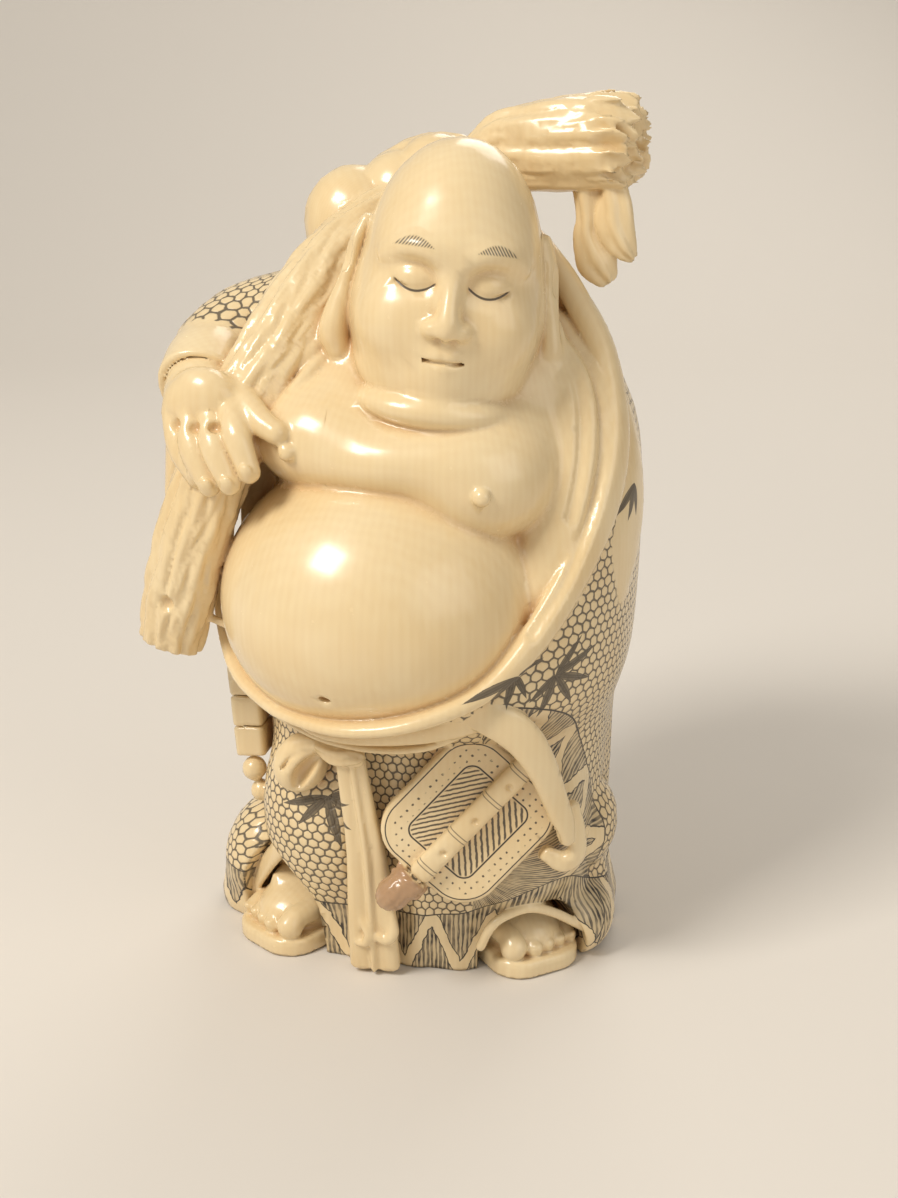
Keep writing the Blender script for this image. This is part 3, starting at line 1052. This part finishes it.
def rubbed_ivory():
    """Polished ivory: warm cream, honey in the recesses, with the engraver's ink in its lines."""
    material = bpy.data.materials.new("polished_ivory")
    material.use_nodes = True
    drawing = Drawing("ivory", tree=material.node_tree)
    nodes, links = material.node_tree.nodes, material.node_tree.links
    surface = nodes["Principled BSDF"]
    spot = nodes.new("ShaderNodeTexCoord")
    scaled = nodes.new("ShaderNodeVectorMath")
    scaled.operation = "SCALE"
    scaled.inputs["Scale"].default_value = 1 / MM
    links.new(spot.outputs["Object"], scaled.inputs[0])
    parts = nodes.new("ShaderNodeSeparateXYZ")
    links.new(scaled.outputs[0], parts.inputs[0])
    x, y, z = (Mark(drawing, output) for output in parts.outputs)
    place = Mark(drawing, scaled.outputs[0])

    def kept(title):
        node = nodes.new("ShaderNodeAttribute")
        node.attribute_name = title
        return Mark(drawing, node.outputs["Fac"])

    weave, crease, recess = kept("weave"), kept("crease"), kept("recess")
    cloth_here = weave.above(0.12, 0.12)
    across = (x - ROBE_MIDDLE[0]).sum("ARCTAN2", ROBE_MIDDLE[1] - y) * 33
    cells = drawing.place(ENGRAVED_CELLS, Across=across, Up=z)
    sleeve_across = (x + 18).sum("ARCTAN2", 6 - y) * 16
    sleeve_up = (z - 96).sum("ARCTAN2", ((x + 18) * (x + 18) + (y - 6) * (y - 6)).sum("SQRT")) * 22
    sleeve_cells = drawing.place(ENGRAVED_CELLS, Across=sleeve_across, Up=sleeve_up)
    on_sleeve = x.below(-17, 0.2) * z.above(88, 0.2)
    cell_line = cells["Line"] + (sleeve_cells["Line"] - cells["Line"]) * on_sleeve
    cell_rise = cells["Rise"] + (sleeve_cells["Rise"] - cells["Rise"]) * on_sleeve

    off = (across - 28) / 12
    hem_top = (off * off * -1).sum("EXPONENT") * 8 + 11.5
    hem = drawing.place(RIBBONS, Along=across, Across=z * (12 / 11.5), Height=12.0)
    hem_here = (hem_top - z).above(0, 0.15)
    ring_u, ring_v = (across - 11) / 31, (z - 24) / 34
    ring = (ring_u * ring_u + ring_v * ring_v).sum("SQRT")
    inner = drawing.place(RIBBONS, Along=ring_v.sum("ARCTAN2", ring_u) * 32, Across=(1 - ring) * 31, Height=12.0)
    inner_here = ring.below(1.0, 0.01) * across.above(14, 0.2) * z.above(8, 0.5)
    border = abs(ring - 1).below(0.005, 0.004) * across.above(14, 0.2)
    border = border.either(abs(hem_top - z).below(0.14, 0.1))
    band_here = hem_here.either(inner_here)
    band_ink = hem["Ink"] * hem_here
    band_ink = band_ink.either(inner["Ink"] * inner_here * (1 - hem_here))
    cloth_ink = (cell_line * (1 - band_here) * 0.85).either(band_ink).either(border) * cloth_here

    sprays = spray(drawing, across, z, (17.5, 63.5), [(205, 8.5, 0.75), (228, 8, 0.7), (258, 6.5, 0.7), (290, 5.5, 0.6), (20, 5, 0.6)])
    sprays = sprays.either(spray(drawing, across, z, (24, 61.5), [(250, 8, 0.8), (222, 6, 0.7), (300, 7.5, 0.8), (340, 8, 0.8), (20, 9, 0.8), (48, 8, 0.7)]))
    sprays = sprays.either(spray(drawing, across, z, (-15, 34.6), [(200, 9, 0.9), (232, 8, 0.9), (285, 10.5, 1.0), (330, 8, 0.9), (10, 7, 0.8)]))
    sprays = sprays.either(spray(drawing, across, z, (44.8, 89.5), [(215, 8, 0.8), (242, 7, 0.8), (268, 6, 0.7)]))
    front = y.below(8, 1)
    fan = drawing.place(FAN_MARKS, X=x, Y=y, Z=z)
    face = drawing.place(FACE_MARKS, X=x, Y=y, Z=z)
    ink = cloth_ink.either(sprays * front * 0.93).either(fan["Ink"]).either(face["Ink"])

    grained = drawing.place(IVORY_GRAIN, X=x, Y=y, Z=z)
    tone = drawing.noise(place, 0.05, 3.0)

    def mixed(below, above, share):
        node = nodes.new("ShaderNodeMix")
        node.data_type = "RGBA"
        for socket, value in ((node.inputs["Factor"], share), (node.inputs[6], below), (node.inputs[7], above)):
            drawing.join(value, socket)
        return Mark(drawing, node.outputs[2])

    CREAM, PALE, HONEY = (0.80, 0.60, 0.32, 1), (0.86, 0.71, 0.45, 1), (0.50, 0.24, 0.065, 1)
    INK, BROWN = (0.035, 0.026, 0.02, 1), (0.30, 0.125, 0.06, 1)
    colour = mixed(CREAM, PALE, (tone * 1.6 - 0.3 + grained["Streak"] * 0.5 - 0.25).sum("ADD", 0, clamp=True))
    hollow = (crease - 0.56).sum("MULTIPLY", 3.4, clamp=True)
    deep = (recess - 0.56).sum("MULTIPLY", 2.2, clamp=True)
    colour = mixed(colour, HONEY, (hollow * 0.6 + deep * 0.5).sum("MULTIPLY", 1.0, clamp=True))
    colour = mixed(colour, BROWN, fan["Brown"] * (tone * 0.6 + 0.4))
    colour = mixed(colour, HONEY, (1 - grained["Grain"]) * 0.07)
    colour = mixed(colour, INK, ink)
    links.new(colour.socket, surface.inputs["Base Color"])
    height = (cell_rise * 0.12 - cell_line * 0.12) * cloth_here * (1 - band_here)
    bump = nodes.new("ShaderNodeBump")
    bump.inputs["Distance"].default_value = MM
    bump.inputs["Strength"].default_value = 0.7
    links.new(height.socket, bump.inputs["Height"])
    links.new(bump.outputs["Normal"], surface.inputs["Normal"])
    rough = drawing.noise(place, 0.6, 3.0) * 0.1 + 0.2 + ink * 0.25 + hollow * 0.1
    links.new(rough.socket, surface.inputs["Roughness"])
    surface.inputs["IOR"].default_value = 1.54
    surface.inputs["Coat Weight"].default_value = 0.3
    surface.inputs["Coat Roughness"].default_value = 0.12
    return material


carving.data.materials.append(rubbed_ivory())
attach(carving, "root")
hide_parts("hotei_figure")

# The floor: one plain pale sheet that curves up behind the figure, square to the camera.
TURN_ROUND = math.radians(12)
REACH, WALL, CURVE = 0.55, 1.2, 0.4
profile = [(-1.2, 0)] + [
    (REACH + CURVE * math.sin(t), CURVE * (1 - math.cos(t))) for t in np.linspace(0, math.pi / 2, 17)
] + [(REACH + CURVE, WALL)]
corners = [(x, y, z) for y, z in profile for x in (-3, 3)]
sheet_faces = [(k, k + 1, k + 3, k + 2) for k in range(0, len(corners) - 2, 2)]
floor_mesh = bpy.data.meshes.new("floor")
floor_mesh.from_pydata(corners, [], sheet_faces)
floor_mesh.polygons.foreach_set("use_smooth", np.ones(len(sheet_faces), bool))
floor = bpy.data.objects.new("floor", floor_mesh)
floor.rotation_euler = (0, 0, TURN_ROUND)
bpy.context.scene.collection.objects.link(floor)
paper = bpy.data.materials.new("pale_floor")
paper.use_nodes = True
paper.node_tree.nodes["Principled BSDF"].inputs["Base Color"].default_value = (0.74, 0.70, 0.65, 1)
paper.node_tree.nodes["Principled BSDF"].inputs["Roughness"].default_value = 0.7
floor_mesh.materials.append(paper)

# The light: one broad soft lamp ahead to the left, a weaker one to the right, and a pale room.
for name, at, size, power in [
    ("key", (-0.42, -0.5, 0.75), 0.3, 6.5),
    ("fill", (0.7, -0.4, 0.45), 0.6, 1.2),
    ("back", (0.1, 0.7, 0.6), 0.5, 2),
]:
    lamp = bpy.data.lights.new(name, "AREA")
    lamp.size = size
    lamp.energy = power
    lamp.color = (1, 0.95, 0.87)
    light = bpy.data.objects.new(name, lamp)
    light.location = at
    light.rotation_euler = (Vector((0, 0, 0.08)) - Vector(at)).to_track_quat("-Z", "Y").to_euler()
    bpy.context.scene.collection.objects.link(light)
world = bpy.data.worlds.new("room")
world.use_nodes = True
world.node_tree.nodes["Background"].inputs["Color"].default_value = (1, 0.95, 0.87, 1)
world.node_tree.nodes["Background"].inputs["Strength"].default_value = 0.4
bpy.context.scene.world = world
bpy.context.scene.view_settings.view_transform = "Standard"

# The camera: a normal lens at 33 cm, 12 degrees to the figure's left of its front and looking down 19.
PHOTO_WIDTH, PHOTO_HEIGHT = 898, 1198
STANDS_AT = (423, 900)
DISTANCE = 0.33
LENS, FILM = 50, 36
look_down = math.radians(19)
away = Vector((math.sin(TURN_ROUND) * math.cos(look_down), -math.cos(TURN_ROUND) * math.cos(look_down), math.sin(look_down)))
right = Vector((math.cos(TURN_ROUND), math.sin(TURN_ROUND), 0))
up = away.cross(right)
per_pixel = DISTANCE * FILM / LENS / PHOTO_HEIGHT
camera = bpy.data.objects.new("camera", bpy.data.cameras.new("camera"))
camera.data.lens = LENS
camera.data.sensor_width = FILM
camera.data.sensor_fit = "AUTO"
camera.data.clip_start = 0.01
camera.location = (away * DISTANCE - right * (STANDS_AT[0] - PHOTO_WIDTH / 2) * per_pixel
                   + up * (STANDS_AT[1] - PHOTO_HEIGHT / 2) * per_pixel)
camera.rotation_euler = Matrix((right, up, away)).transposed().to_euler()
bpy.context.scene.collection.objects.link(camera)
bpy.context.scene.camera = camera
